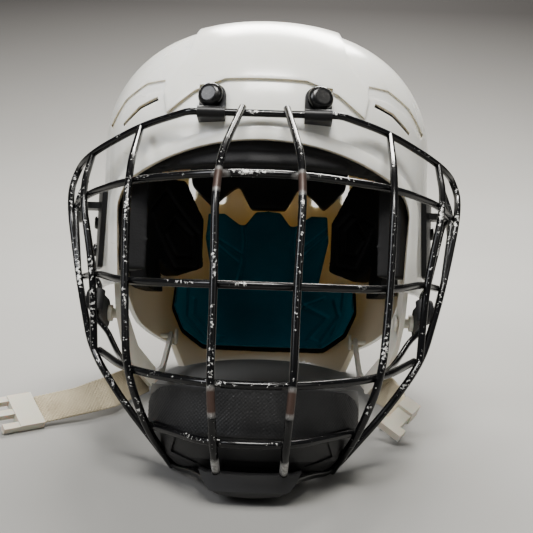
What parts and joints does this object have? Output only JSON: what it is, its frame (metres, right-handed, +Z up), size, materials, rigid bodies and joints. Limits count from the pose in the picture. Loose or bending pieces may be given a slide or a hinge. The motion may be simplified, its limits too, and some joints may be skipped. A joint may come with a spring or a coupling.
{
  "type": "ice hockey helmet with cage",
  "caption": "Two-piece white ice hockey helmet with a flip-up black wire face cage, chin cup, padded liner, ear loops and a buckled chin strap.",
  "frame": {"origin": "on the table, under the middle of the helmet's footprint without the loose chin strap", "axes": "+Y from the cage back to the nape, +X to the right of someone facing the cage, +Z up from the table; the helmet stands tipped back 15 degrees on its nape rim and chin cup"},
  "size_m": [0.2739, 0.3571, 0.2403],
  "materials": {
    "shell_white": "moulded white plastic, slightly worn gloss",
    "pad_black": "black closed-cell foam, fabric faced",
    "pad_teal": "dark teal foam, fabric faced",
    "loop_white": "off-white flexible plastic",
    "clip_black": "black moulded plastic",
    "screw_black": "black coated steel",
    "screw_steel": "plain steel",
    "cage_black": "black enamel, chipped to bare wire",
    "cup_black": "black moulded plastic",
    "chin_grip": "dark grey textured rubber",
    "strap_rubber": "black moulded rubber",
    "webbing": "cream woven webbing",
    "buckle_clear": "translucent white plastic"
  },
  "bodies": {
    "front": {"front_shell": "shell_white", "brow_pad": "pad_black", "crown_pad_front": "pad_black", "temple_pad_left": "pad_black", "temple_pad_right": "pad_black", "ear_loop_left": "loop_white", "ear_loop_right": "loop_white", "ear_loop_bosses": "loop_white", "snap_studs": "loop_white", "wire_clip_left": "clip_black", "wire_clip_right": "clip_black", "clip_screws": "screw_black", "clip_nuts": "screw_steel", "size_screws": "screw_steel", "size_nuts": "screw_steel", "side_clip_left": "clip_black", "side_clip_right": "clip_black", "side_clip_screws": "screw_black", "chin_strap_long": "webbing", "chin_strap_short": "webbing", "strap_buckle": "buckle_clear", "strap_receiver": "buckle_clear"},
    "rear": {"rear_shell": "shell_white", "crown_pad_rear": "pad_black", "side_pad_left": "pad_black", "side_pad_right": "pad_black", "occipital_pad": "pad_teal", "neck_pad_backing": "pad_black", "neck_pad": "pad_teal", "loop_tail_left": "loop_white", "loop_tail_right": "loop_white", "tail_buttons": "loop_white"},
    "cage": {"cage_frame": "cage_black", "chin_cup": "cup_black", "chin_pad": "chin_grip"},
    "strap_left": {"cage_strap_left": "strap_rubber"},
    "strap_right": {"cage_strap_right": "strap_rubber"}
  },
  "joints": [
    {"name": "cage_flip", "type": "hinge", "parent": "front", "child": "cage", "pos_m": [0, -0.07283, 0.18629], "axis": [-1, 0, 0], "range_deg": [0, 100]},
    {"name": "size_slide", "type": "slide", "parent": "front", "child": "rear", "axis": [0, 0.9659, -0.2588], "range_m": [0, 0.012]},
    {"name": "strap_swing_left", "type": "hinge", "parent": "cage", "child": "strap_left", "pos_m": [-0.094, -0.04971, 0.07554], "axis": [0, 0.7034, 0.7108], "range_deg": [0, 70]},
    {"name": "strap_swing_right", "type": "hinge", "parent": "cage", "child": "strap_right", "pos_m": [0.094, -0.04971, 0.07554], "axis": [0, -0.7034, -0.7108], "range_deg": [0, 70]}
  ]
}
